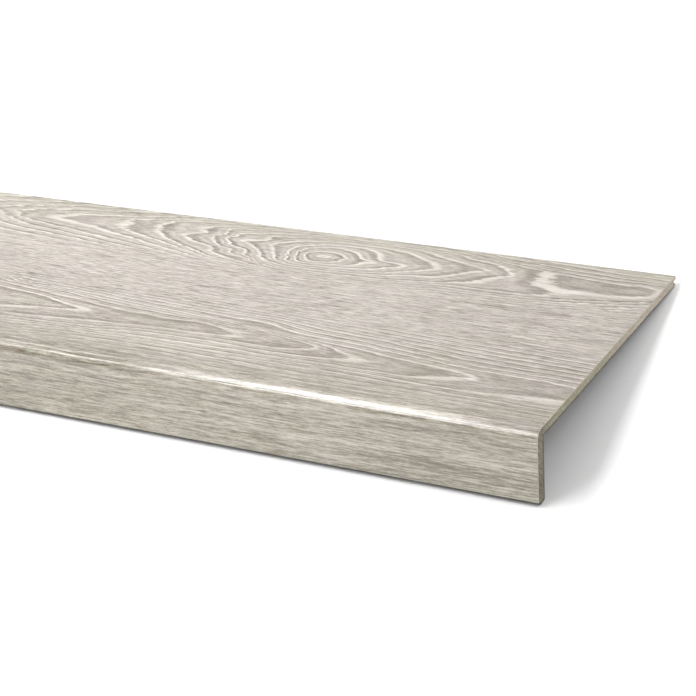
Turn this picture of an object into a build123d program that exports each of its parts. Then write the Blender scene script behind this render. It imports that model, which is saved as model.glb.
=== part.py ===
from build123d import *
import math
import os

# Overlay stair tread: one board, 1 m long, with a nosing flange that turns
# down along its front edge and a narrow groove along its back edge.
# All lengths in millimetres, angles in degrees.

# ---- driving dimensions -------------------------------------------------
LENGTH = 1000.0          # along the step, left to right
DEPTH = 300.0            # nosing face to the tip of the back edge
THICKNESS = 8.0          # the flat board
NOSING_HEIGHT = 58.0     # walking surface down to the foot of the nosing
FLANGE_THICKNESS = 11.8  # the nosing flange, front face to back face
NOSE_RADIUS = 7.5        # rounded front edge between top and nosing face
FOOT_FRONT_RADIUS = 5.0  # foot of the flange, rounded front arris
FOOT_REAR_RADIUS = 2.0   # foot of the flange, rear arris
INNER_CORNER_RADIUS = 0.4  # milled corner between underside and flange

GROOVE_UPPER_LIP = 3.2   # thickness of the lip above the groove
GROOVE_HEIGHT = 2.4      # mouth of the groove
GROOVE_DEPTH = 5.0       # from the tip of the upper lip
LOWER_LIP_SETBACK = 2.0  # the lower lip ends this far short of the upper one

# ---- lean when it lies loose on a floor ---------------------------------
# Right side up and unheld, the board rests on the rear arris of the flange's
# foot and on the lower arris of its back edge, so it leans back. The angle is
# where the rounded foot and the sharp back arris are equally low.


def foot_low(angle):
    """Height of the foot's lowest point after leaning back by angle."""
    centre_y = FLANGE_THICKNESS - FOOT_REAR_RADIUS
    centre_z = FOOT_REAR_RADIUS
    return centre_z * math.cos(angle) - centre_y * math.sin(angle) - FOOT_REAR_RADIUS


def back_low(angle):
    """Height of the back edge's lower arris after leaning back by angle."""
    arris_y = DEPTH - LOWER_LIP_SETBACK
    arris_z = NOSING_HEIGHT - THICKNESS
    return arris_z * math.cos(angle) - arris_y * math.sin(angle)


low_angle, high_angle = 0.0, math.radians(30)
for _ in range(80):
    middle = 0.5 * (low_angle + high_angle)
    if back_low(middle) > foot_low(middle):
        low_angle = middle
    else:
        high_angle = middle
LEAN = 0.5 * (low_angle + high_angle)

# ---- section ------------------------------------------------------------
# Drawn level: Y runs from the nosing face to the back, Z up from the foot.
top = NOSING_HEIGHT
under = NOSING_HEIGHT - THICKNESS
groove_top = top - GROOVE_UPPER_LIP
groove_floor = groove_top - GROOVE_HEIGHT
lower_tip = DEPTH - LOWER_LIP_SETBACK
groove_back = DEPTH - GROOVE_DEPTH

outline = [
    (0, 0),
    (0, top),
    (DEPTH, top),
    (DEPTH, groove_top),
    (groove_back, groove_top),
    (groove_back, groove_floor),
    (lower_tip, groove_floor),
    (lower_tip, under),
    (FLANGE_THICKNESS, under),
    (FLANGE_THICKNESS, 0),
]


def corner_at(sketch, y, z):
    """The vertex of the section nearest the point (y, z)."""
    return min(
        sketch.vertices(),
        key=lambda v: math.hypot(v.Y - y, v.Z - z),
    )


section = Plane.YZ * make_face(Polyline(*outline, close=True).edges())
section = fillet(corner_at(section, 0, top), NOSE_RADIUS)
section = fillet(corner_at(section, 0, 0), FOOT_FRONT_RADIUS)
section = fillet(corner_at(section, FLANGE_THICKNESS, 0), FOOT_REAR_RADIUS)
section = fillet(corner_at(section, FLANGE_THICKNESS, under), INNER_CORNER_RADIUS)

board = extrude(section, amount=LENGTH / 2, dir=(1, 0, 0), both=True)

# ---- lay it down --------------------------------------------------------
board = Rot(X=-math.degrees(LEAN)) * board
box = board.bounding_box()
board = Pos(
    -(box.min.X + box.max.X) / 2,
    -(box.min.Y + box.max.Y) / 2,
    -box.min.Z,
) * board

tread = board.solid() if hasattr(board, "solid") else board
tread.label = "stair_tread"

os.makedirs("parts", exist_ok=True)
export_step(tread, "parts/stair_tread.step")

size = tread.bounding_box()
print("lean back of the walking surface, degrees:", round(math.degrees(LEAN), 4))
print("shift applied, mm: y", round(-(box.min.Y + box.max.Y) / 2, 4), "z", round(-box.min.Z, 4))
print("box, mm:", [round(v, 3) for v in (size.min.X, size.min.Y, size.min.Z, size.max.X, size.max.Y, size.max.Z)])
print("volume, cm3:", round(tread.volume / 1000, 2), "valid:", tread.is_valid)
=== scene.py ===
import math

import bpy
import numpy as np
from mathutils import Matrix, Vector
from mathutils.geometry import tessellate_polygon


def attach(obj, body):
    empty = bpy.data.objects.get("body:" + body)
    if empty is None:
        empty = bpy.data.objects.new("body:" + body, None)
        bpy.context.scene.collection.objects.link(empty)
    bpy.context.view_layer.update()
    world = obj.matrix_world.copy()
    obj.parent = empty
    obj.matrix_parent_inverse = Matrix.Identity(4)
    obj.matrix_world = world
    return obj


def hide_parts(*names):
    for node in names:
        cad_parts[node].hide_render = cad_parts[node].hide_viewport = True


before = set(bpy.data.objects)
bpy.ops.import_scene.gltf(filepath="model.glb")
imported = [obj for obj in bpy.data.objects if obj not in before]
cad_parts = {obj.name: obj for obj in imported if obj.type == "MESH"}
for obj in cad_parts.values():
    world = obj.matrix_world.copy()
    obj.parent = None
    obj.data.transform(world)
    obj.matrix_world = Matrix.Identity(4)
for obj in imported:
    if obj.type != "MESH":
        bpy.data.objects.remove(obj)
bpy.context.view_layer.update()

# ---------------------------------------------------------------------------
# The board's own level frame, in millimetres: X along the tread with 0 at the
# right end, Y from the nosing face to the back, Z up from the foot. The part
# lies leaned back, so every point is turned about X and moved to its place.
# ---------------------------------------------------------------------------
LENGTH, DEPTH, THICK, HEIGHT = 1000.0, 300.0, 8.0, 58.0
FLANGE, NOSE_R, FOOT_FRONT, FOOT_REAR, INNER_R = 11.8, 7.5, 5.0, 2.0, 0.4
LIP_UP, GROOVE_H, GROOVE_D, LIP_BACK = 3.2, 2.4, 5.0, 2.0
EASE = 0.25    # fine rounding of the cut arrises
LAYER = 0.45   # printed sheet, seen at the cut ends
PAPER = 0.95   # backing paper, seen there too; its dark band there also stands as a painted shade line along the lower and back edges
LEAN = math.radians(9.8481)
SHIFT_Y, SHIFT_Z = -153.1405, 1.7056

# levels that are set one by one
PRINT = 0.845                              # depth of the printed colours
GRAIN = 1.5                                # strength of the fine grain
WORLD, SKY, STRIP, NOSE, LEFT, FAR, FILL = 0.42, 0.23, 7.2, 13.5, 4.4, 1.5, 1.9


def place(x, y, z):
    """Level board millimetres to metres in the row frame."""
    c, s = math.cos(LEAN), math.sin(LEAN)
    return (
        (x + LENGTH / 2) / 1000,
        (y * c + z * s + SHIFT_Y) / 1000,
        (-y * s + z * c + SHIFT_Z) / 1000,
    )


def turn(x, y, z):
    """A level direction in the row frame."""
    c, s = math.cos(LEAN), math.sin(LEAN)
    return (x, y * c + z * s, -y * s + z * c)


# ---------------------------------------------------------------------------
# The figure of the oak print: growth-ring lines drawn as points on the flat
# sheet, x along the tread (0 at the right end), s across it from the back
# edge, over the nose and down the face. A smooth height field runs through
# them, and each whole height is one ring line.
# ---------------------------------------------------------------------------
BACK_RINGS = [
    (0.0, [(-292, 53)]),
    (1.0, [(-310.6, 54), (-306, 60), (-300, 65), (-294, 65), (-287.5, 63), (-281, 61), (-277.5, 54), (-274, 51),
           (-279, 47.5), (-285, 43.8), (-296, 43.8)]),
    (2.0, [(-320, 51), (-319, 47.5), (-315, 40), (-310, 38), (-302, 35), (-294, 32.5), (-285, 33), (-279, 35),
           (-271, 38), (-266, 42.5), (-261, 48), (-256, 52), (-250, 50.6), (-260, 60), (-267.5, 65), (-274, 66),
           (-287, 68), (-310, 69), (-315, 65), (-317.5, 57.5)]),
    (3.0, [(-327, 45), (-325, 40), (-320, 36), (-310, 31), (-295, 27), (-281, 25.6), (-272, 25.6), (-264, 27.5),
           (-256, 31), (-251, 37.5), (-247.5, 43.8), (-242, 47), (-235, 48), (-221, 51), (-224, 55), (-230, 57.5),
           (-240, 64), (-250, 67.5), (-260, 70), (-271, 72), (-310, 74), (-319, 71), (-322, 65), (-326, 54)]),
    (4.0, [(-347.5, 44), (-346, 39), (-340, 34), (-331, 29), (-324, 25.6), (-310, 22.5), (-295, 20), (-280, 19.4),
           (-260, 19.4), (-247.5, 20), (-240, 22), (-230, 23), (-222, 27), (-215, 31), (-206, 35), (-200, 40),
           (-194, 46), (-194, 50), (-201, 54), (-210, 59), (-220, 65), (-230, 70), (-247, 74), (-272, 77),
           (-315, 78), (-322, 75), (-330, 71), (-334, 65), (-340, 56), (-344, 49)]),
    (5.0, [(-377.5, 41), (-372.5, 40.6), (-366, 38), (-361, 36), (-357.5, 30), (-357.5, 24), (-350, 23), (-336, 20),
           (-320, 16), (-307, 13.5), (-290, 13), (-270, 12.5), (-247, 12.5), (-230, 13.8), (-217, 16), (-210, 18),
           (-201, 22.5), (-190, 26), (-177.5, 29.7), (-167.5, 33), (-160, 35.3), (-151.5, 37.5), (-159, 42.5),
           (-165, 47.5), (-171, 53.5), (-178, 59.4), (-190, 65), (-204, 67.5), (-217, 71), (-230, 75), (-242, 77.5),
           (-270, 80.5), (-300, 82), (-325, 80), (-334, 77), (-341, 72.5), (-347.5, 65), (-352.5, 60), (-360, 52.5),
           (-366, 47.5), (-372.5, 44)]),
    (6.0, [(-396, 40), (-392, 36), (-390, 29), (-386, 27), (-377, 24.5), (-368, 21.5), (-355, 17.5), (-335, 13),
           (-310, 9.5), (-270, 8.5), (-230, 9), (-194, 12.5), (-179, 15), (-174, 19), (-165, 21), (-149, 23.5),
           (-141, 28), (-136, 32), (-130.5, 36), (-139.5, 51.5), (-149, 60.5), (-158, 67), (-166, 70), (-178, 75),
           (-190, 77.3), (-200, 79), (-210, 81), (-230, 84), (-260, 86), (-300, 87), (-325, 85), (-341, 81),
           (-347.5, 78), (-355, 74), (-362, 67.5), (-365, 61), (-372, 57.5), (-379, 56), (-386, 51), (-391, 46)]),
    (7.0, [(-410, 41), (-407.5, 36), (-402, 31), (-403, 26), (-404, 20), (-390, 16.5), (-370, 12), (-340, 7.5),
           (-300, 4.5), (-240, 4.5), (-200, 8.5), (-165, 13.8), (-152, 15.6), (-140, 18.8), (-120, 21.9), (-110, 24.4),
           (-107, 29), (-104, 36), (-103, 40), (-104, 50), (-94, 58), (-82.5, 67), (-86, 72), (-100, 75), (-120, 76),
           (-150, 76.5), (-170, 77.5), (-190, 81.5), (-210, 85), (-240, 88.5), (-275, 91), (-300, 90.5), (-320, 88),
           (-340, 83), (-352.5, 77.5), (-362.5, 75), (-372.5, 72.5), (-377.5, 66), (-381, 61), (-390, 60),
           (-396, 56), (-402.5, 51), (-406, 46)]),
    (7.0, [(-88, 28), (-70, 30), (-50, 31), (-34, 34), (-24, 33), (-15, 32.5), (-8, 34.5), (-5, 40), (-5, 45),
           (-12, 50), (-30, 54.5), (-50, 55.5), (-75, 54), (-88, 48), (-92, 38)]),
    (6.72, [(-78, 40), (-55, 43), (-30, 45), (-14, 42)]),
    (7.12, [(-97, 33), (-97, 43), (-92, 56), (-72, 60), (-1, 38), (-20, 28.8)]),
    (7.3, [(-50, 63), (-30, 61), (-10, 56)]),
    (8.0, [(-421, 21), (-426, 25), (-424, 30), (-420, 35), (-427, 39), (-432, 42.5), (-435, 46), (-430, 50),
           (-421, 55), (-415, 57.5), (-407.5, 60), (-400, 62.5), (-395, 67.5), (-390, 74), (-385, 76), (-377.5, 80),
           (-365, 84), (-345, 89), (-320, 93), (-280, 95), (-240, 93), (-210, 89.5), (-190, 85.5), (-169, 82.5),
           (-140, 82.5), (-120, 81.5), (-102, 81), (-87, 79), (-70, 76), (-52, 72.5), (-34, 69), (-15, 64), (0, 59)]),
    (8.0, [(-415, 17), (-395, 12), (-365, 7), (-330, 2.5), (-190, 2.5), (-165, 8), (-150, 12), (-125, 17),
           (-102, 20.8), (-90, 22), (-77.5, 23), (-65, 23.8), (-54, 25.2), (-30, 25), (0, 25)]),
    (9.0, [(-468, 27), (-468, 33), (-464, 40), (-460, 47), (-455, 52), (-446, 58), (-440, 61), (-432, 65),
           (-424, 69), (-415, 71.5), (-407, 75), (-399, 79), (-385, 84), (-360, 90), (-330, 95), (-280, 99),
           (-230, 97), (-190, 91), (-160, 87.5), (-120, 86), (-86, 83.5), (-52, 78.5), (-20, 70.5), (0, 65)]),
    (9.0, [(-463, 20), (-455, 16), (-440, 12), (-415, 8), (-390, 5), (-160, 3.5), (-130, 9), (-100, 13.5),
           (-70, 16.5), (-45, 18.2), (-20, 18.8), (0, 19.3)]),
    (10.0, [(-502, 28), (-497, 37), (-500, 43), (-494, 48), (-489, 52), (-478, 56), (-468, 59.5), (-455, 63.5),
            (-443, 68), (-432, 72), (-420, 76), (-408, 79.5), (-385, 88), (-350, 96), (-280, 104), (-220, 101),
            (-165, 92), (-120, 91), (-86, 88.5), (-52, 84), (-20, 77), (0, 71.5)]),
    (10.0, [(-497, 25.5), (-487, 22), (-478, 18.5), (-468, 14.5), (-450, 9), (-425, 4), (-120, 3), (-80, 8),
            (-40, 11.5), (0, 13)]),
    (11.0, [(-571, 42), (-566, 37.5), (-560, 33), (-552, 30), (-544, 28), (-530, 24), (-518, 22), (-505, 19.5),
            (-495, 16.5), (-480, 11.5), (-460, 5), (-561, 45), (-548, 48), (-536, 50), (-526, 53), (-514, 57),
            (-502, 60), (-489, 64), (-476, 67), (-463, 71.5), (-450, 75), (-433, 80), (-400, 89), (-360, 98),
            (-280, 109)]),
    (12.0, [(-622, 37), (-617, 35), (-611, 33), (-602, 29.5), (-590, 25), (-577, 21.5), (-567, 19), (-550, 16),
            (-535, 13.5), (-515, 9), (-490, 3), (-617, 45), (-607, 52), (-597, 55.5), (-586, 58), (-565, 62),
            (-544, 65), (-522, 69.5), (-502, 73), (-470, 79.5), (-430, 88), (-380, 98)]),
    (13.0, [(-648, 37), (-640, 32), (-625, 26), (-612, 21), (-598, 16), (-580, 12), (-560, 8.5), (-540, 4.5),
            (-640, 43), (-632, 48), (-615, 58), (-594, 66), (-560, 71), (-520, 78), (-480, 85), (-430, 94)]),
    (14.0, [(-700, 38), (-690, 30), (-670, 24), (-645, 17), (-610, 9), (-585, 4), (-690, 47), (-660, 57),
            (-635, 66), (-600, 74), (-560, 79.5), (-520, 85), (-480, 91)]),
    (15.0, [(-765, 38), (-755, 29), (-720, 20), (-680, 12), (-640, 4), (-755, 48), (-720, 60), (-680, 70),
            (-640, 78), (-600, 84), (-550, 90), (-500, 95)]),
    (16.0, [(-830, 38), (-820, 28), (-780, 18), (-740, 9), (-700, 3), (-820, 50), (-780, 63), (-740, 75),
            (-680, 86), (-620, 93), (-550, 99)]),
    (17.0, [(-900, 38), (-890, 27), (-850, 16), (-800, 7), (-890, 52), (-850, 66), (-800, 79), (-740, 91)]),
    (18.0, [(-975, 38), (-965, 26), (-920, 14), (-870, 5), (-965, 54), (-920, 69), (-870, 83), (-800, 95)]),
    (22.0, [(-1000, 128), (-850, 130), (-700, 131), (-550, 132), (-400, 138), (-250, 142), (-120, 138), (0, 126)]),
    (34.0, [(-1000, 180), (-700, 182), (-400, 186), (-150, 188), (0, 182)]),
]

FRONT_RINGS = [
    (1.0, [(-432, 222), (-436, 219), (-444, 217.5), (-451, 216), (-460, 213), (-470, 210), (-480, 207.5), (-490, 206),
           (-510, 204), (-540, 200), (-438, 224), (-446, 225), (-455, 226), (-465, 228), (-475, 230), (-487, 232),
           (-500, 235), (-525, 240)]),
    (0.45, [(-455, 221), (-490, 219), (-530, 220)]),
    (2.4, [(-266, 222), (-262, 226)]),
    (2.7, [(-240, 225)]),
    (2.0, [(-283, 225.5), (-288, 222.5), (-294, 220), (-300, 217), (-308, 214.5), (-320, 213), (-332, 213.5),
           (-348, 215.3), (-362, 214), (-380, 213), (-392, 212.7), (-405, 210.5), (-420, 208.8), (-435, 206.5),
           (-450, 204.5), (-465, 202.8), (-478, 200.5), (-490, 198), (-510, 195.5), (-540, 192), (-290, 227.5),
           (-302, 229.3), (-318, 230.8), (-335, 231.3), (-350, 231.8), (-362, 233), (-375, 234.7), (-390, 236.3),
           (-408, 237), (-430, 241), (-445, 243), (-460, 245), (-480, 246.5), (-500, 248)]),
    (3.0, [(-211, 225), (-216, 222), (-224, 220), (-234, 218), (-245, 216), (-256, 214), (-270, 213), (-285, 212.4),
           (-298, 211), (-309, 209), (-320, 207.5), (-335, 207.5), (-350, 207), (-370, 205.6), (-385, 204.8),
           (-395, 203.6), (-406, 202.7), (-420, 201), (-430, 199.7), (-441, 197.6), (-455, 195.4), (-470, 193.8),
           (-490, 192), (-510, 190), (-540, 186), (-216, 228.5), (-225, 232), (-240, 234.5), (-262, 235.5),
           (-300, 235.8), (-340, 237.2), (-362, 239.5), (-377, 242), (-387, 244), (-396, 246), (-406, 247.6),
           (-420, 249.3), (-440, 251), (-470, 253)]),
    (4.0, [(-178, 234), (-185, 229), (-196, 224), (-209, 219), (-225, 216), (-242, 213.7), (-181, 236), (-190, 238.3),
           (-201, 240.3), (-218, 242), (-235, 243.3), (-250, 243.4), (-265, 242.5), (-280, 241.6), (-300, 241.4),
           (-330, 242), (-350, 243.5), (-380, 248), (-405, 252), (-440, 255)]),
    (5.0, [(-80, 234.5), (-87, 231), (-97, 229), (-109, 228.2), (-120, 226.5), (-130, 225), (-140, 223.7),
           (-150, 222.4), (-160, 220.7), (-170, 218.8), (-180, 217.2), (-190, 216.2), (-205, 214.5), (-220, 213.2),
           (-235, 212), (-246, 211), (-256, 209.8), (-270, 208.6), (-283, 207.6), (-294, 205.8), (-302, 204),
           (-312, 203), (-328, 201.7), (-342, 200.3), (-356, 199), (-370, 198), (-385, 196.5), (-400, 194.6),
           (-420, 192.3), (-440, 190.3), (-455, 189.2), (-475, 187.6), (-510, 184.5), (-88, 237), (-99, 240.3),
           (-110, 243.6), (-120, 246.2), (-131, 247.8), (-150, 248.8), (-170, 248.9), (-200, 249.3), (-235, 249.8),
           (-262, 249.3), (-300, 250.2), (-340, 251.2), (-390, 255), (-440, 258.5)]),
    (6.0, [(0, 226.5), (-15, 225.3), (-30, 224), (-45, 223), (-60, 222.3), (-75, 221.8), (-90, 221), (-100, 219.6),
           (-110, 218.6), (-122, 217.4), (-135, 215.8), (-150, 213.8), (-165, 211.7), (-185, 209.3), (-203, 208.3),
           (-220, 207.6), (-236, 206), (-246, 203.6), (-254, 200.8), (-262, 198), (-272, 196.4), (-285, 195.8),
           (-300, 196), (-318, 194.5), (-335, 193), (-352, 192.4), (-370, 191.4), (-390, 189.5), (-410, 187.8),
           (-435, 185.3), (-460, 183.5), (-510, 179.5), (0, 247.5), (-20, 248.7), (-34, 250.3), (-48, 253.2),
           (-62, 255), (-80, 256.2), (-96, 256.8), (-112, 256.4), (-130, 255.4), (-150, 254.6), (-190, 253.6),
           (-220, 254.8), (-250, 255.9), (-275, 256.2), (-310, 257), (-350, 256.5), (-400, 259)]),
    (5.72, [(-52, 240), (-30, 240), (-8, 238), (-60, 232), (-20, 233)]),
    (7.0, [(0, 218), (-20, 216.8), (-40, 216.6), (-60, 216.2), (-78, 215.5), (-95, 214.6), (-110, 213.2), (-130, 210.2),
           (-150, 207.7), (-165, 205.8), (-176, 203.8), (-190, 202.4), (-202, 201.7), (-214, 200.8), (-228, 199.6),
           (-240, 197.6), (-250, 194.8), (-260, 191.8), (-274, 189.9), (-300, 189.8), (-322, 189), (-350, 187.8),
           (-400, 184), (-440, 181), (-500, 176), (0, 265.3), (-20, 265.8), (-50, 264.9), (-80, 264), (-110, 263),
           (-150, 260.6), (-190, 259.6), (-230, 260.2), (-270, 261), (-310, 261.6), (-350, 260.6), (-400, 262.5)]),
    (8.0, [(0, 210.5), (-40, 209.8), (-80, 208), (-120, 203.5), (-160, 198), (-200, 194.6), (-240, 190), (-280, 185.8),
           (-350, 183), (-420, 178), (-500, 171), (0, 270.3), (-50, 269.9), (-100, 268.6), (-150, 268.9), (-190, 269.8),
           (-230, 269), (-260, 267.2), (-300, 266.6), (-350, 266), (-400, 268)]),
    (9.0, [(0, 203), (-60, 201), (-120, 197), (-200, 189), (-280, 181.5), (-350, 178), (-430, 172), (0, 276.5),
           (-60, 276), (-130, 275), (-200, 276), (-280, 276), (-360, 274), (-420, 276)]),
    (10.5, [(0, 194), (-80, 191), (-160, 185.5), (-240, 179), (-330, 172), (-430, 165), (0, 284), (-100, 283.5),
            (-200, 284.5), (-300, 284), (-420, 285)]),
    (14.0, [(0, 170), (-150, 164), (-300, 157), (-450, 150), (-700, 150), (-1000, 150)]),
    (-1.0, [(-640, 222)]),
    (-3.5, [(-820, 224)]),
    (-6.0, [(-1000, 225)]),
    (3.5, [(-640, 190), (-640, 254)]),
    (3.0, [(-820, 188), (-820, 260)]),
    (3.0, [(-1000, 186), (-1000, 264)]),
    (9.0, [(-640, 170), (-820, 168), (-1000, 166), (-640, 278), (-820, 280), (-1000, 282)]),
]

# Single darker or paler spots of the print: x, s, half length, half width, amount
SPOTS = [
    (-560, 285, 150, 70, -0.42),
    (-420, 25, 7, 3.2, -0.5), (-396, 27, 7, 5.0, -0.4), (-401, 41, 4, 4.5, -0.5), (-390, 53, 9, 3.0, -0.4),
    (-365, 28, 4, 2.5, -0.5), (-346, 28, 7, 3.2, -0.6), (-282, 84, 5, 1.6, -0.6), (-482, 42, 10, 9.0, -0.75),
    (-478, 30, 9, 4.5, -0.5), (-113, 40, 7, 9.0, -0.55), (-92, 65, 8, 4.0, -0.45), (-125, 44, 5, 7.5, 0.45),
    (-98, 38, 5, 9.0, 0.35), (-72, 61, 22, 3.2, 0.3), (-120, 81.2, 22, 1.3, -0.6), (-90, 79.3, 12, 1.3, -0.6), (-70, 76, 9, 1.4, -0.6),
    (-55, 73, 8, 1.5, -0.6), (-40, 70, 8, 1.6, -0.6), (-26, 66.8, 8, 1.7, -0.6), (-12, 63, 8, 1.8, -0.6), (0, 59.5, 6, 1.8, -0.6), (-508, 47, 12, 5.0, -0.35), (-590, 44, 22, 8.0, -0.15),
    (-538, 46, 12, 3.0, 0.35), (-560, 35, 10, 3.0, 0.3), (-655, 12, 18, 8.0, 0.35), (-510, 6, 10, 4.0, 0.25),
    (-545, 2, 26, 1.6, -0.5), (-212, 234.5, 4.5, 3.2, -0.7), (-105, 233.5, 6, 2.6, -0.3), (-215, 225, 6, 2.8, 0.6),
    (-48, 252.5, 14, 2.4, 0.55), (-86, 234.5, 8, 2.2, 0.35), (-290, 226, 9, 1.8, 0.4), (-182, 233, 9, 4.0, 0.4),
    (-60, 261, 32, 1.6, -0.45), (-110, 266.5, 62, 0.9, -0.5), (-290, 191, 26, 1.1, -0.4), (-415, 206, 26, 1.3, -0.4),
    (-350, 222, 46, 5.5, -0.10), (-145, 237, 24, 4.0, -0.3), (-300, 250, 30, 3.0, 0.25), (-40, 242, 24, 3.2, -0.3),
    (-500, 168.5, 36, 1.3, -0.7), (-585, 44, 12, 8, -0.45), (-100, 107, 90, 1.2, -1.0), (-340, 110, 30, 1.2, -0.7), (-260, 273, 80, 1.6, 0.35), (-700, 96, 40, 1.2, -0.5),
    (-800, 236, 60, 3.0, 0.3), (-760, 205, 50, 2.0, -0.35),
]


class Figure:
    """A smooth height field through points of known height."""

    STRETCH, ROUND = 3.0, 3.5

    def __init__(self, rings):
        rows = [(x / self.STRETCH, s, level) for level, line in rings for x, s in line]
        rows = np.array(sorted(set(rows)), float)
        self.at = rows[:, :2]
        n = len(rows)
        gap = self.at[:, None, :] - self.at[None, :, :]
        kernel = np.sqrt((gap ** 2).sum(-1) + self.ROUND ** 2)
        system = np.zeros((n + 3, n + 3))
        system[:n, :n] = kernel - 0.05 * np.eye(n)
        system[:n, n] = system[n, :n] = 1.0
        system[:n, n + 1:] = self.at / 100.0
        system[n + 1:, :n] = self.at.T / 100.0
        answer = np.linalg.solve(system, np.concatenate([rows[:, 2], np.zeros(3)]))
        self.weights, self.plane = answer[:n], answer[n:]

    def __call__(self, x, s):
        """Height and its slopes along x and s, per millimetre."""
        out = np.zeros((len(x), 3))
        u = x / self.STRETCH
        for i in range(0, len(x), 4000):
            du = u[i:i + 4000, None] - self.at[None, :, 0]
            ds = s[i:i + 4000, None] - self.at[None, :, 1]
            r = np.sqrt(du ** 2 + ds ** 2 + self.ROUND ** 2)
            out[i:i + 4000, 0] = r @ self.weights
            out[i:i + 4000, 1] = (du / r) @ self.weights
            out[i:i + 4000, 2] = (ds / r) @ self.weights
        out[:, 0] += self.plane[0] + self.plane[1] * u / 100 + self.plane[2] * s / 100
        out[:, 1] = (out[:, 1] + self.plane[1] / 100) / self.STRETCH
        out[:, 2] += self.plane[2] / 100
        return out


def across(y, z):
    """Distance across the printed sheet from the back edge."""
    flat, bend = DEPTH - NOSE_R, NOSE_R * math.pi / 2
    if y >= NOSE_R:
        return DEPTH - y
    if z > HEIGHT - NOSE_R:
        return flat + NOSE_R * math.atan2(NOSE_R - y, z - (HEIGHT - NOSE_R))
    return flat + bend + (HEIGHT - NOSE_R - z)


# ---------------------------------------------------------------------------
# Section: a closed run of points, each with the normals of the faces before
# and after it, and the finish of the face after it.
# ---------------------------------------------------------------------------
DECOR, EDGE, CORE, BACK, GROOVE = 0, 1, 2, 3, 4


def section():
    under = HEIGHT - THICK
    g_top = HEIGHT - LIP_UP
    g_low = g_top - GROOVE_H
    tip = DEPTH - LIP_BACK
    g_in = DEPTH - GROOVE_D
    run = []  # (y, z, normal before, normal after, finish after, eased corner or None)

    def straight(y0, z0, y1, z1, n, finish, cuts, first=True):
        for i in range(0 if first else 1, cuts):
            t = i / cuts
            run.append([y0 + (y1 - y0) * t, z0 + (z1 - z0) * t, n, n, finish, None])

    def arc(cy, cz, r, a0, a1, cuts, finish, hollow=False, corner=None):
        for i in range(cuts):
            a = math.radians(a0 + (a1 - a0) * i / cuts)
            d = (math.cos(a), math.sin(a))
            n = (-d[0], -d[1]) if hollow else d
            f = finish(i / cuts) if callable(finish) else finish
            run.append([cy + r * d[0], cz + r * d[1], n, n, f, corner])

    e = EASE
    # back arris of the top, then the walking surface, forwards
    straight(DEPTH - e, HEIGHT, NOSE_R + 0.6, HEIGHT, (0, 1), DECOR, 132)
    straight(NOSE_R + 0.6, HEIGHT, NOSE_R, HEIGHT, (0, 1), DECOR, 1)
    arc(NOSE_R, HEIGHT - NOSE_R, NOSE_R, 90, 180, 20, DECOR)
    straight(0, HEIGHT - NOSE_R, 0, under, (-1, 0), DECOR, 1)
    straight(0, under, 0, FOOT_FRONT, (-1, 0), DECOR, 16)
    # the foot's front rounding: print on its upper part, then the dark backing, which here also stands as painted shade
    # where the rounding faces down
    arc(FOOT_FRONT, FOOT_FRONT, FOOT_FRONT, 180, 270, 12, lambda t: DECOR if t < 0.3 else BACK)
    straight(FOOT_FRONT, 0, FLANGE - FOOT_REAR, 0, (0, -1), BACK, 2)
    arc(FLANGE - FOOT_REAR, FOOT_REAR, FOOT_REAR, 270, 360, 8, BACK)
    straight(FLANGE, FOOT_REAR, FLANGE, under - INNER_R, (1, 0), BACK, 4)
    arc(FLANGE + INNER_R, under - INNER_R, INNER_R, 180, 90, 4, BACK, hollow=True)
    straight(FLANGE + INNER_R, under, tip - e, under, (0, -1), BACK, 10)
    arc(tip - e, under + e, e, 270, 360, 3, CORE, corner=((tip, under), (0, -1), (1, 0)))
    straight(tip, under + e, tip, g_low - e, (1, 0), CORE, 1)
    arc(tip - e, g_low - e, e, 0, 90, 3, CORE, corner=((tip, g_low), (1, 0), (0, 1)))
    straight(tip - e, g_low, g_in, g_low, (0, 1), GROOVE, 1)
    run.append([g_in, g_low, (0, 1), (1, 0), GROOVE, "sharp"])
    run.append([g_in, g_top, (1, 0), (0, -1), GROOVE, "sharp"])
    arc(DEPTH - e, g_top + e, e, 270, 360, 3, CORE, corner=((DEPTH, g_top), (0, -1), (1, 0)))
    straight(DEPTH, g_top + e, DEPTH, HEIGHT - e, (1, 0), CORE, 1)
    arc(DEPTH - e, HEIGHT - e, e, 0, 90, 3, lambda t: CORE if t < 0.3 else DECOR,
        corner=((DEPTH, HEIGHT), (1, 0), (0, 1)))
    return run


def inset(run, d):
    """The section's points moved d into the board."""
    out = []
    for y, z, n0, n1, finish, corner in run:
        # on faces turned to the back, mainly the flange's back, the paper's band is drawn wider as a painted shade line
        # along that edge
        if finish == BACK and d > EASE:
            d_here = EASE + PAPER + 0.45 * max(n0[0], 0.0)
        else:
            d_here = d
        if corner is not None and corner != "sharp" and d > EASE:
            (cy, cz), a, b = corner
            k = d_here / (1 + a[0] * b[0] + a[1] * b[1])
            out.append((cy - k * (a[0] + b[0]), cz - k * (a[1] + b[1])))
        else:
            k = d_here / (1 + n0[0] * n1[0] + n0[1] * n1[1])
            out.append((y - k * (n0[0] + n1[0]), z - k * (n0[1] + n1[1])))
    return out


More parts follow.
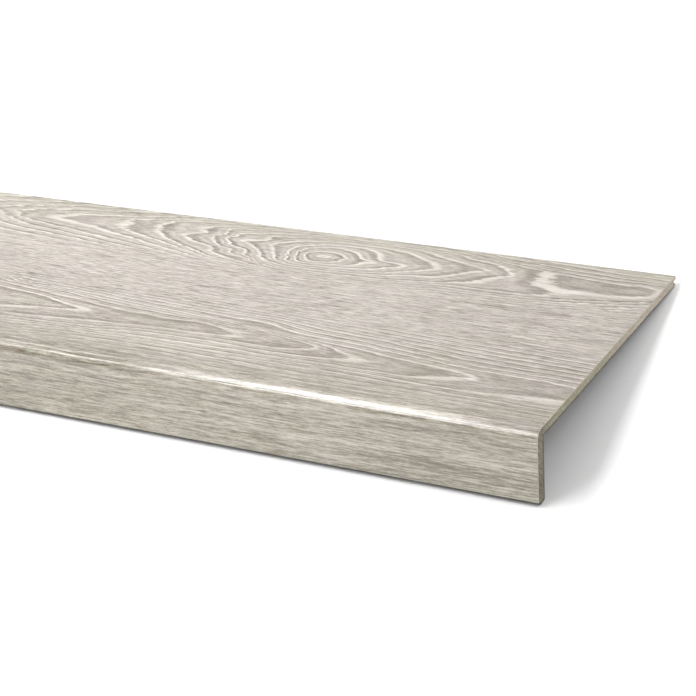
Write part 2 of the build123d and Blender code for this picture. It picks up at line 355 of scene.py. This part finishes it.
def build_board():
    run = section()
    # the points at the ends of eased arrises hold the offset of their own flat
    full = [(p[0], p[1]) for p in run]
    n = len(run)
    along = [0.0]
    for i in range(n):
        a, b = full[i], full[(i + 1) % n]
        along.append(along[-1] + math.hypot(b[0] - a[0], b[1] - a[1]))
    rim = inset(run, EASE)
    layer = inset(run, EASE + LAYER)

    # points of a flat beside a fully eased corner must not cross that corner
    def tidy(points):
        done = []
        for i, (y, z) in enumerate(points):
            before, after = run[i - 1], run[(i + 1) % n]
            here = run[i]
            if here[5] is None:
                for other in (before, after):
                    if other[5] not in (None, "sharp"):
                        (cy, cz), a, b = other[5]
                        k = (EASE + LAYER) / (1 + a[0] * b[0] + a[1] * b[1])
                        y, z = cy - k * (a[0] + b[0]), cz - k * (a[1] + b[1])
            done.append((y, z))
        return done

    layer = tidy(layer)

    xs = [-LENGTH + EASE] + [-LENGTH + LENGTH * i / 320 for i in range(1, 320)] + [-EASE]
    verts, index = [], {}

    def vert(x, y, z):
        key = (round(x, 4), round(y, 4), round(z, 4))
        if key not in index:
            index[key] = len(verts)
            verts.append(key)
        return index[key]

    faces, finish, normals, sheet, bake = [], [], [], [], []
    total = along[-1]
    dec_end = max(along[i + 1] for i in range(n - 6) if run[i][4] == DECOR)
    back_end = max(along[i + 1] for i in range(n) if run[i][4] == BACK)

    # islands of the bake map, as (low, high) of v
    V_DECOR, V_BACK, V_LIP = (0.236, 0.998), (0.118, 0.230), (0.094, 0.112)
    V_ARRIS = (0.086, 0.091)

    def sheet_uv(x, s):
        return ((x + LENGTH) / 1000, s / 1000)

    def bake_side(x, s, f):
        u = 0.002 + 0.996 * (x + LENGTH) / LENGTH
        if f == DECOR and s <= dec_end + 1e-6:
            lo, hi, t = *V_DECOR, s / dec_end
        elif f == DECOR:
            lo, hi, t = *V_ARRIS, (s - (total - 0.4)) / 0.4
        elif f == BACK:
            lo, hi, t = *V_BACK, (s - dec_end) / (back_end - dec_end)
        else:
            lo, hi, t = *V_LIP, (s - back_end) / (total - back_end)
        return (u, hi - (hi - lo) * min(max(t, 0.0), 1.0))

    def add(points, norms, f, uv, bk):
        ids = [vert(*p) for p in points]
        keep = [i for i in range(len(ids)) if ids[i] != ids[i - 1]]
        if len(keep) < 3:
            return
        faces.append([ids[i] for i in keep])
        finish.append(f)
        normals.extend(norms[i] for i in keep)
        sheet.extend(uv[i] for i in keep)
        bake.extend(bk[i] for i in keep)

    # the long faces
    for i in range(n):
        j = (i + 1) % n
        (y0, z0), (y1, z1) = full[i], full[j]
        s0, s1 = along[i], along[i + 1]
        f = run[i][4]
        n0, n1 = run[i][3], run[j][2]
        for xa, xb in zip(xs[:-1], xs[1:]):
            add(
                [(xa, y0, z0), (xa, y1, z1), (xb, y1, z1), (xb, y0, z0)],
                [(0, *n0), (0, *n1), (0, *n1), (0, *n0)],
                f,
                [sheet_uv(xa, s0), sheet_uv(xa, s1), sheet_uv(xb, s1), sheet_uv(xb, s0)],
                [bake_side(xa, s0, f), bake_side(xa, s1, f), bake_side(xb, s1, f), bake_side(xb, s0, f)],
            )

    # the two cut ends: a fine arris, the layers' cut edges, the fibreboard
    for side in (-1, 1):
        x_in, x_out = (-LENGTH + EASE, -LENGTH) if side < 0 else (-EASE, 0.0)
        base = 0.002 if side < 0 else 0.044

        def cap_bake(y, z):
            if z >= HEIGHT - THICK - 1e-6:  # the flat board's end
                return (0.002 + 0.800 * y / DEPTH, base + 0.026 * (z - (HEIGHT - THICK)) / THICK)
            return (0.810 + 0.180 * (HEIGHT - THICK - z) / (HEIGHT - THICK), base + 0.026 * y / FLANGE)

        def strip_bake(s, t, lane):
            lo = base + 0.028 + 0.0065 * lane
            return (0.002 + 0.996 * s / total, lo + 0.004 * t)

        for i in range(n):
            j = (i + 1) % n
            f = run[i][4]
            cut = {DECOR: EDGE, BACK: BACK, CORE: CORE, GROOVE: CORE}[f]
            n0, n1 = run[i][3], run[j][2]
            s0, s1 = along[i], along[i + 1]
            slant0 = (side * 0.7071, n0[0] * 0.7071, n0[1] * 0.7071)
            slant1 = (side * 0.7071, n1[0] * 0.7071, n1[1] * 0.7071)
            flat = (float(side), 0.0, 0.0)
            (ay, az), (by, bz) = full[i], full[j]
            (cy, cz), (dy, dz) = rim[i], rim[j]
            (ey, ez), (gy, gz) = layer[i], layer[j]
            ring = [
                ([(x_in, ay, az), (x_out, cy, cz), (x_out, dy, dz), (x_in, by, bz)],
                 [slant0, slant0, slant1, slant1], f if f != DECOR else EDGE, 0),
                ([(x_out, cy, cz), (x_out, ey, ez), (x_out, gy, gz), (x_out, dy, dz)],
                 [flat] * 4, cut, 1),
            ]
            for points, norms, mat, lane in ring:
                uv = [(p[1] / 1000, p[2] / 1000) for p in points]
                bk = [strip_bake(s0, 0, lane), strip_bake(s0, 1, lane), strip_bake(s1, 1, lane), strip_bake(s1, 0, lane)]
                if side > 0:
                    points, norms, uv, bk = points[::-1], norms[::-1], uv[::-1], bk[::-1]
                add(points, norms, mat, uv, bk)

        # fibreboard inside the layers, in two pieces so that each maps well
        cut_z = HEIGHT - THICK
        front = min(range(n), key=lambda k: abs(full[k][0]) + abs(full[k][1] - cut_z))
        inner = max(
            (k for k in range(n) if run[k][5] is None and abs(full[k][0] - FLANGE - INNER_R) < 1e-6
             and abs(full[k][1] - cut_z) < 1e-6),
            default=None,
        )
        low = [layer[k] for k in range(front, inner + 1)]
        high = [layer[k] for k in list(range(inner, n)) + list(range(0, front + 1))]
        for ring in (low, high):
            clean = [p for k, p in enumerate(ring) if math.hypot(p[0] - ring[k - 1][0], p[1] - ring[k - 1][1]) > 1e-4]
            tris = tessellate_polygon([[Vector((p[0], p[1], 0)) for p in clean]])
            mean_low = ring is low
            for t in tris:
                pts = [clean[k] for k in t]
                area = (pts[1][0] - pts[0][0]) * (pts[2][1] - pts[0][1]) - (pts[2][0] - pts[0][0]) * (pts[1][1] - pts[0][1])
                if abs(area) < 1e-7:
                    continue
                if (area > 0) != (side > 0):
                    pts = pts[::-1]
                bk = []
                for y, z in pts:
                    if mean_low:
                        bk.append((0.810 + 0.180 * (cut_z + LAYER + EASE - z) / (cut_z + LAYER + EASE), base + 0.026 * y / FLANGE))
                    else:
                        bk.append((0.002 + 0.800 * y / DEPTH, base + 0.026 * (z - cut_z) / THICK))
                add([(x_out, y, z) for y, z in pts], [(float(side), 0, 0)] * 3, CORE,
                    [(y / 1000, z / 1000) for y, z in pts], bk)

    me = bpy.data.meshes.new("tread_board")
    me.from_pydata([place(*v) for v in verts], [], faces)
    me.polygons.foreach_set("material_index", finish)
    me.polygons.foreach_set("use_smooth", [True] * len(faces))
    layer_uv = me.uv_layers.new(name="Sheet")
    layer_uv.data.foreach_set("uv", np.array(sheet, np.float32).ravel())
    bake_uv = me.uv_layers.new(name="OFBake")
    bake_uv.data.foreach_set("uv", np.array(bake, np.float32).ravel())
    me.uv_layers.active = layer_uv
    layer_uv.active_render = True
    me.update()
    me.normals_split_custom_set([Vector(turn(*v)).normalized() for v in normals])

    # the print's ring field, its slopes and its spots, at every point
    xp = np.array([v[0] for v in verts])
    sp = np.array([across(v[1], v[2]) for v in verts])
    for name, rings in (("ring_back", BACK_RINGS), ("ring_front", FRONT_RINGS)):
        me.attributes.new(name, "FLOAT_VECTOR", "POINT").data.foreach_set(
            "vector", Figure(rings)(xp, sp).astype(np.float32).ravel())
    spot = np.zeros(len(xp))
    for x, s, rx, rs, amount in SPOTS:
        spot += amount * np.exp(-((xp - x) / rx) ** 2 - ((sp - s) / rs) ** 2)
    me.attributes.new("spot", "FLOAT", "POINT").data.foreach_set("value", spot.astype(np.float32))
    return me


# ---------------------------------------------------------------------------
# Node graphs written as sums
# ---------------------------------------------------------------------------
class Value:
    def __init__(self, graph, socket):
        self.graph, self.socket = graph, socket

    def __add__(self, o): return self.graph.math("ADD", self, o)
    def __radd__(self, o): return self.graph.math("ADD", o, self)
    def __sub__(self, o): return self.graph.math("SUBTRACT", self, o)
    def __rsub__(self, o): return self.graph.math("SUBTRACT", o, self)
    def __mul__(self, o): return self.graph.math("MULTIPLY", self, o)
    def __rmul__(self, o): return self.graph.math("MULTIPLY", o, self)
    def __truediv__(self, o): return self.graph.math("DIVIDE", self, o)
    def __neg__(self): return self.graph.math("MULTIPLY", self, -1.0)


class Graph:
    def __init__(self, name):
        self.mat = bpy.data.materials.new(name)
        self.mat.use_nodes = True
        self.tree = self.mat.node_tree
        self.tree.nodes.clear()
        self.out = self.tree.nodes.new("ShaderNodeOutputMaterial")
        self.bsdf = self.tree.nodes.new("ShaderNodeBsdfPrincipled")
        self.tree.links.new(self.bsdf.outputs["BSDF"], self.out.inputs["Surface"])

    def node(self, kind, **settings):
        made = self.tree.nodes.new(kind)
        for k, v in settings.items():
            setattr(made, k, v)
        return made

    def put(self, socket, value):
        if isinstance(value, Value):
            self.tree.links.new(value.socket, socket)
        else:
            socket.default_value = value

    def math(self, op, *values, clamp=False):
        made = self.node("ShaderNodeMath", operation=op, use_clamp=clamp)
        for i, v in enumerate(values):
            self.put(made.inputs[i], v)
        return Value(self, made.outputs[0])

    def sheet(self):
        """(along the tread, across it) in millimetres, on the unrolled sheet."""
        uv = self.node("ShaderNodeUVMap", uv_map="Sheet")
        parts = self.node("ShaderNodeSeparateXYZ")
        self.tree.links.new(uv.outputs[0], parts.inputs[0])
        return Value(self, parts.outputs[0]) * 1000.0, Value(self, parts.outputs[1]) * 1000.0

    def drawn(self, name):
        """The three parts of a value stored on the board's points."""
        made = self.node("ShaderNodeAttribute", attribute_name=name)
        parts = self.node("ShaderNodeSeparateXYZ")
        self.tree.links.new(made.outputs["Vector"], parts.inputs[0])
        return [Value(self, parts.outputs[k]) for k in range(3)]

    def position(self):
        coords = self.node("ShaderNodeTexCoord")
        return Value(self, coords.outputs["Object"])

    def vector(self, x, y, z=0.0):
        made = self.node("ShaderNodeCombineXYZ")
        for i, v in enumerate((x, y, z)):
            self.put(made.inputs[i], v)
        return Value(self, made.outputs[0])

    def noise(self, vector, scale=1.0, detail=2.0, rough=0.5, distortion=0.0):
        """Smooth noise, about -1 to 1."""
        made = self.node("ShaderNodeTexNoise", noise_dimensions="3D")
        self.put(made.inputs["Vector"], vector)
        self.put(made.inputs["Scale"], scale)
        self.put(made.inputs["Detail"], detail)
        self.put(made.inputs["Roughness"], rough)
        self.put(made.inputs["Distortion"], distortion)
        return (Value(self, made.outputs["Fac"]) - 0.5) * 2.0

    def span(self, value, a, b, c=0.0, d=1.0, smooth=True):
        made = self.node("ShaderNodeMapRange", interpolation_type="SMOOTHSTEP" if smooth else "LINEAR")
        self.put(made.inputs["Value"], value)
        for name, v in zip(("From Min", "From Max", "To Min", "To Max"), (a, b, c, d)):
            self.put(made.inputs[name], v)
        return Value(self, made.outputs[0])

    def curve(self, value, points):
        """A smooth line through (input, output) points."""
        x0, x1 = points[0][0], points[-1][0]
        lo, hi = min(p[1] for p in points), max(p[1] for p in points)
        made = self.node("ShaderNodeFloatCurve")
        self.put(made.inputs["Value"], self.math("MULTIPLY", value - x0, 1.0 / (x1 - x0), clamp=True))
        line = made.mapping.curves[0]
        scaled = [((x - x0) / (x1 - x0), (y - lo) / (hi - lo)) for x, y in points]
        line.points[0].location = scaled[0]
        line.points[-1].location = scaled[-1]
        for p in scaled[1:-1]:
            line.points.new(*p)
        for p in line.points:
            p.handle_type = "AUTO_CLAMPED"
        made.mapping.update()
        return Value(self, made.outputs[0]) * (hi - lo) + lo

    def ramp(self, value, stops, mode="LINEAR"):
        made = self.node("ShaderNodeValToRGB")
        self.put(made.inputs[0], value)
        made.color_ramp.interpolation = mode
        found = made.color_ramp.elements
        while len(found) < len(stops):
            found.new(0.5)
        for e, (at, colour) in zip(found, stops):
            e.position = at
            e.color = (*colour, 1.0)
        return Value(self, made.outputs[0])

    def mix(self, factor, a, b):
        made = self.node("ShaderNodeMix", data_type="RGBA")
        self.put(made.inputs[0], factor)
        self.put(made.inputs[6], a if isinstance(a, Value) else (*a, 1.0))
        self.put(made.inputs[7], b if isinstance(b, Value) else (*b, 1.0))
        return Value(self, made.outputs[2])

    def bump(self, height, strength, distance):
        made = self.node("ShaderNodeBump")
        made.inputs["Strength"].default_value = strength
        made.inputs["Distance"].default_value = distance
        self.put(made.inputs["Height"], height)
        self.tree.links.new(made.outputs[0], self.bsdf.inputs["Normal"])


def srgb(*c):
    """A screen colour, 0 to 255, as linear light."""
    return tuple(((v / 255) / 12.92 if v <= 10 else (((v / 255) + 0.055) / 1.055) ** 2.4) for v in c)


def ink(*c):
    return srgb(*(v * PRINT for v in c))


# ---------------------------------------------------------------------------
# The printed oak sheet
# ---------------------------------------------------------------------------
def oak_sheet():
    g = Graph("oak_print")
    x, s = g.sheet()
    x = x - LENGTH            # 0 at the right end, -1000 at the left

    # fibres: where a ring line crosses them it breaks up into long thin steps
    jag_x = (g.noise(g.vector(x / 34.0 + s * 0.21, s / 2.6, 1.3), detail=1.0) * 11.0
             + g.noise(g.vector(x / 15.0 - s * 0.33, s / 1.5, 7.1), detail=0.0) * 5.0)
    jag_s = (g.noise(g.vector(x / 24.0, s / 9.0, 3.7), detail=2.0) * 1.3
             + g.noise(g.vector(x / 9.0 + s * 0.4, s / 2.4, 5.2), detail=0.0) * 0.5)

    calm = g.curve(x, [(-1000, 1.0), (-600, 1.0), (-480, 0.65), (-430, 0.40), (-340, 0.28), (-230, 0.26), (-160, 0.45), (-100, 0.8), (0, 0.8)])
    jag_x, jag_s = jag_x * calm, jag_s * (calm * 0.6 + 0.4)

    def rings(name, seed):
        """Tone of the rings: pale just outside each line, dark just inside it."""
        height, slope_x, slope_s = g.drawn(name)
        phase = height + slope_x * jag_x + slope_s * jag_s
        turn_no = g.math("FLOOR", phase)
        t = phase - turn_no
        odd = g.noise(g.vector(turn_no * 0.37, seed, 0.5), detail=0.0)
        beside = g.noise(g.vector(x / 60.0, s / 7.0, seed), detail=2.0)
        pale = g.span(t, 0.0, 0.05) - g.span(t, 0.12, 0.32)
        faint = g.span(t, 0.46, 0.52) - g.span(t, 0.57, 0.74)
        dark = g.span(t, 0.50, 0.92) - g.span(t, 0.965, 1.0)
        steep = g.span(g.math("ABSOLUTE", slope_s) + g.math("ABSOLUTE", slope_x), 0.03, 0.16, 0.75, 1.0)
        return steep * (pale * (1.25 + 0.6 * odd + 0.9 * beside) + faint * (0.30 + 0.6 * beside)
                        - dark * (0.50 - 0.4 * odd + 0.5 * beside))

    zone_a = g.curve(s, [(0, 0.90), (14, 1.00), (28, 1.5), (78, 1.5), (92, 0.62), (104, 0.34), (125, 0.20), (160, 0.10), (185, 0.0)])
    zone_b = g.curve(s, [(140, 0.0), (160, 0.20), (178, 0.9), (192, 1.45), (212, 1.25), (235, 1.05), (262, 1.05), (274, 0.6), (288, 0.20), (300, 0.0)])
    figure = 1.25 * (rings("ring_back", 2.0) * zone_a + rings("ring_front", 9.0) * zone_b)
    spot = g.drawn("spot")[0]

    # straight grain between and over the figures
    wave = s + g.noise(g.vector(x / 90.0, s / 30.0, 12.3), detail=1.0) * 2.0
    streak = g.noise(g.vector(x / 120.0 + s * 0.05, wave / 3.4, 4.4), detail=2.0, rough=0.6)
    fibre = g.noise(g.vector(x / 30.0 + s * 0.05, wave / 1.5, 8.2), detail=2.0, rough=0.6)
    dash = g.noise(g.vector(x / 12.0 + s * 0.08, wave / 1.05, 5.9), detail=1.0)
    grit = g.noise(g.vector(x / 3.0 + s * 0.2, s / 1.2, 15.9), detail=0.0)
    streak_gain = g.curve(s, [(0, 1.6), (22, 0.45), (80, 0.30), (100, 0.42), (185, 0.42), (200, 0.30), (258, 0.40), (285, 0.8), (305, 1.05), (350, 1.05)])
    fibre_gain = g.curve(s, [(0, 1.6), (22, 0.62), (80, 0.62), (110, 1.45), (185, 1.1), (200, 0.75), (258, 0.85), (285, 1.2), (305, 1.45), (350, 1.45)])
    dash_gain = g.curve(s, [(0, 1.5), (30, 0.85), (80, 0.85), (110, 1.6), (185, 1.4), (200, 1.0), (258, 1.0), (285, 1.1), (305, 1.1), (350, 1.1)])
    # pores: thin dark scratches along the fibres
    pore_field = g.noise(g.vector(x / 15.0 - s * 0.06, wave / 0.85, 11.0), detail=0.0)
    pores = g.span(pore_field, 0.22, 0.52)
    cloud = g.noise(g.vector(x / 120.0, s / 34.0, 21.0), detail=2.0)
    grain = streak * streak_gain + fibre * fibre_gain + dash * dash_gain + grit * 0.40 - pores * 0.60
    # tone across the sheet; its fall past s 340 towards the foot is painted shade on the rounding that turns down
    base = g.curve(s, [(0, -0.14), (20, -0.22), (32, -0.16), (84, -0.14), (100, -0.12), (140, -0.18), (190, -0.40), (240, -0.66), (285, -0.56), (303, -0.44), (340, -0.40), (352, -0.62)])
    # painted shade: the print is darkened at the right end and on the nosing's left part, standing in for light that
    # falls off there
    painted_shade_falloff = (g.curve(x, [(-1000, 0.0), (-320, 0.0), (-150, -0.12), (0, -0.22)])
            + g.curve(x, [(-1000, -0.32), (-440, -0.32), (-300, -0.12), (-160, 0.0), (0, 0.0)])
            * g.curve(s, [(0, 0.0), (230, 0.0), (295, 1.0), (352, 1.2)]))
    tone = figure + spot + painted_shade_falloff + grain * GRAIN + cloud * 0.55 + base + 0.05

    level = tone * 0.25 + 0.5
    pink = g.ramp(level, [(0.0, ink(134, 123, 113)), (0.25, ink(170, 159, 149)), (0.5, ink(206, 196, 186)),
                          (0.75, ink(230, 220, 210)), (1.0, ink(247, 240, 231))])
    olive = g.ramp(level, [(0.0, ink(126, 119, 98)), (0.25, ink(164, 156, 137)), (0.5, ink(202, 194, 177)),
                           (0.75, ink(229, 222, 207)), (1.0, ink(246, 241, 229))])
    tint = g.noise(g.vector(x / 46.0, s / 16.0, 31.0), detail=2.0)
    lean_olive = g.curve(s, [(0, 0.80), (22, 0.65), (40, 0.35), (85, 0.30), (105, 0.10), (180, 0.12), (215, 0.30), (250, 0.42), (290, 0.6), (305, 0.9), (350, 0.95)])
    colour = g.mix(g.math("ADD", tint * 1.1, lean_olive, clamp=True), pink, olive)
    # small stains of green-grey and rose, as in a printed oak
    stain = g.noise(g.vector(x / 13.0 + s * 0.2, s / 5.5, 41.0), detail=1.0)
    colour = g.mix(g.span(stain, 0.22, 0.60) * 0.28, colour, srgb(176, 186, 168))
    colour = g.mix(g.span(-stain, 0.22, 0.60) * 0.22, colour, srgb(205, 176, 170))
    g.put(g.bsdf.inputs["Base Color"], colour)
    # matt walking surface, the rounded nosing polished by use
    polish = g.curve(s, [(0, 0.33), (262, 0.33), (284, 0.29), (292, 0.20), (303, 0.20), (314, 0.30), (352, 0.34)])
    g.put(g.bsdf.inputs["Roughness"], polish - 0.01 + 0.05 * fibre + 0.14 * pores + 0.03 * cloud)
    g.bsdf.inputs["IOR"].default_value = 1.85
    g.bump(fibre * 0.35 + dash * 0.25 - pores * 0.9, 0.35, 0.00006)
    return g.mat


def plain(name, colour, rough, ior=1.45):
    g = Graph(name)
    g.put(g.bsdf.inputs["Base Color"], (*colour, 1.0))
    g.put(g.bsdf.inputs["Roughness"], rough)
    g.bsdf.inputs["IOR"].default_value = ior
    return g


def sheet_edge():
    """The cut edge of the printed sheet: cream, a little chipped and dusty."""
    g = Graph("sheet_edge")
    p = g.position()
    fleck = g.noise(p, scale=900.0, detail=2.0)
    patch = g.noise(p, scale=60.0, detail=1.0)
    colour = g.ramp(fleck * 0.35 + patch * 0.25 + 0.5, [(0.0, srgb(142, 135, 118)), (0.5, srgb(180, 173, 156)), (1.0, srgb(208, 202, 187))])
    g.put(g.bsdf.inputs["Base Color"], colour)
    g.put(g.bsdf.inputs["Roughness"], 0.55 + 0.1 * fleck)
    g.bump(fleck, 0.3, 0.00005)
    return g.mat


def fibreboard():
    """Sawn fibreboard: short pale and dark fibres, olive at the nosing and rosier
    and paler towards the back, where the paler tone is painted light on the rear of the cut end."""
    g = Graph("fibreboard")
    p = g.position()
    y, z = g.sheet()          # at the cut ends the sheet map holds depth and height
    speck = g.noise(p, scale=2200.0, detail=2.0, rough=0.7)
    strand = g.noise(g.vector(y / 1.1, z / 3.2, 6.0), detail=1.0)
    grit = g.noise(p, scale=620.0, detail=2.0)
    patch = g.noise(p, scale=55.0, detail=2.0)
    tone = 0.5 + speck * 0.45 + grit * 0.42 + strand * 0.42 + patch * 0.12
    dark = g.ramp(tone, [(0.0, srgb(58, 54, 43)), (0.5, srgb(110, 103, 89)), (1.0, srgb(176, 169, 148))])
    olive = g.ramp(tone, [(0.0, srgb(90, 88, 67)), (0.5, srgb(147, 142, 119)), (1.0, srgb(196, 192, 168))])
    rose = g.ramp(tone, [(0.0, srgb(118, 106, 94)), (0.5, srgb(180, 169, 154)), (1.0, srgb(222, 212, 198))])
    sway = g.noise(p, scale=38.0, detail=1.0) * 0.3
    colour = g.mix(g.math("ADD", g.span(y, 8.0, 40.0, smooth=False), sway * 0.5, clamp=True), dark, olive)
    # towards the back the board turns rosier and paler; the paler tone is painted light, with the rear of the cut end
    # drawn as more lit
    colour = g.mix(g.math("ADD", g.span(y, 90.0, 230.0, smooth=False), sway, clamp=True), colour, rose)
    g.put(g.bsdf.inputs["Base Color"], colour)
    g.put(g.bsdf.inputs["Roughness"], 0.82 + 0.08 * grit)
    g.bump(speck + grit, 0.5, 0.00008)
    return g.mat


def backing_paper_and_shade():
    """The dark balancing sheet on the underside and on the flange's back; on the lower part of the foot's front
    rounding it is painted shade.
    """
    g = Graph("backing_sheet_and_shade")
    x, s = g.sheet()
    p = g.position()
    fibre = g.noise(p, scale=1300.0, detail=3.0, rough=0.65)
    roll = g.noise(g.vector(x / 120.0, s / 5.0, 2.0), detail=2.0)
    patch = g.noise(p, scale=14.0, detail=2.0)
    colour = g.ramp(0.5 + fibre * 0.22 + roll * 0.14 + patch * 0.14,
                    [(0.0, srgb(34, 31, 25)), (0.5, srgb(54, 50, 42)), (1.0, srgb(80, 75, 64))])
    g.put(g.bsdf.inputs["Base Color"], colour)
    g.put(g.bsdf.inputs["Roughness"], 0.62 + 0.10 * fibre)
    g.bump(fibre, 0.35, 0.00005)
    return g.mat


def groove_shade_wall():
    """The walls of the groove, darkened as painted shade deep in the groove."""
    g = Graph("groove_shade_wall")
    p = g.position()
    speck = g.noise(p, scale=1500.0, detail=2.0, rough=0.6)
    patch = g.noise(p, scale=70.0, detail=2.0)
    colour = g.ramp(0.5 + speck * 0.3 + patch * 0.2, [(0.0, srgb(38, 33, 27)), (0.5, srgb(66, 59, 49)), (1.0, srgb(98, 89, 76))])
    g.put(g.bsdf.inputs["Base Color"], colour)
    g.put(g.bsdf.inputs["Roughness"], 0.85 + 0.08 * speck)
    g.bump(speck, 0.4, 0.00006)
    return g.mat


mesh = build_board()
for m in (oak_sheet(), sheet_edge(), fibreboard(), backing_paper_and_shade(), groove_shade_wall()):
    mesh.materials.append(m)
board = bpy.data.objects.new("tread_board", mesh)
bpy.context.scene.collection.objects.link(board)
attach(board, "root")
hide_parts("stair_tread")

# ---------------------------------------------------------------------------
# Floor, light and camera
# ---------------------------------------------------------------------------
floor_mesh = bpy.data.meshes.new("floor")
floor_mesh.from_pydata([(-12, -12, 0), (12, -12, 0), (12, 12, 0), (-12, 12, 0)], [], [(0, 1, 2, 3)])
floor = bpy.data.objects.new("floor", floor_mesh)
floor_mesh.materials.append(plain("floor_paint", (0.93, 0.93, 0.93), 0.85).mat)
bpy.context.scene.collection.objects.link(floor)

world = bpy.data.worlds.new("studio")
world.use_nodes = True
world.node_tree.nodes["Background"].inputs["Color"].default_value = (1.0, 1.0, 1.0, 1.0)
world.node_tree.nodes["Background"].inputs["Strength"].default_value = WORLD
bpy.context.scene.world = world


def softbox(name, at, to, size, radiance, colour=(1, 1, 1)):
    data = bpy.data.lights.new(name, "AREA")
    data.shape = "RECTANGLE"
    data.size, data.size_y = size
    data.energy = radiance * math.pi * size[0] * size[1]
    data.color = colour
    lamp = bpy.data.objects.new(name, data)
    lamp.location = at
    lamp.rotation_mode = "QUATERNION"
    lamp.rotation_quaternion = (Vector(to) - Vector(at)).to_track_quat("-Z", "Y")
    bpy.context.scene.collection.objects.link(lamp)
    return lamp


# soft light from above, a long box overhead on the left whose shine runs along
# the rounded nosing, one far behind for the floor and a weak one on the right
sky = bpy.data.lights.new("sky", "SUN")
sky.energy, sky.angle = SKY, math.radians(120)
sky_lamp = bpy.data.objects.new("sky", sky)
sky_lamp.rotation_mode = "QUATERNION"
sky_lamp.rotation_quaternion = Vector((0.0, -0.15, -1.0)).to_track_quat("-Z", "Y")
bpy.context.scene.collection.objects.link(sky_lamp)
softbox("strip", place(-865.0, -600.0, 1450.0), place(-865.0, -600.0, 0.0), (0.48, 1.90), STRIP)
softbox("strip_left", place(-1470.0, -560.0, 1400.0), place(-1300.0, -400.0, 0.0), (0.50, 1.5), LEFT)
softbox("nose_light", place(-1010.0, -1560.0, 1080.0), place(-180.0, 0.0, 50.0), (0.66, 0.26), NOSE)
softbox("backdrop_light", (-1.2, 3.2, 2.2), (-1.2, 3.2, 0.0), (6.0, 3.4), FAR)
softbox("fill", (1.75, -0.1, 1.5), (0.55, 0.0, 0.0), (1.3, 1.3), FILL)

# The camera: solved in the board's level frame, then leaned with the board.
FOCAL, SENSOR = 1884.86 / 696 * 36.0, 36.0
CAM_AT = (436.67, -1065.59, 635.82)
AZIMUTH, ELEVATION, ROLL = math.radians(28.498), math.radians(23.8629), math.radians(3.6356)
forward = Vector((-math.sin(AZIMUTH) * math.cos(ELEVATION), math.cos(AZIMUTH) * math.cos(ELEVATION), -math.sin(ELEVATION)))
right = forward.cross(Vector((0, 0, 1))).normalized()
down = forward.cross(right).normalized()
cam_right = math.cos(ROLL) * right + math.sin(ROLL) * down
cam_up = cam_right.cross(forward)
camera_data = bpy.data.cameras.new("camera")
camera_data.sensor_width = SENSOR
camera_data.lens = FOCAL
camera_data.clip_start, camera_data.clip_end = 0.01, 100.0
camera = bpy.data.objects.new("camera", camera_data)
axes = [Vector(turn(*v)) for v in (cam_right, cam_up, -forward)]
camera.matrix_world = Matrix((
    (axes[0].x, axes[1].x, axes[2].x, place(*CAM_AT)[0]),
    (axes[0].y, axes[1].y, axes[2].y, place(*CAM_AT)[1]),
    (axes[0].z, axes[1].z, axes[2].z, place(*CAM_AT)[2]),
    (0, 0, 0, 1),
))
bpy.context.scene.collection.objects.link(camera)
bpy.context.scene.camera = camera
bpy.context.scene.view_settings.view_transform = "Standard"
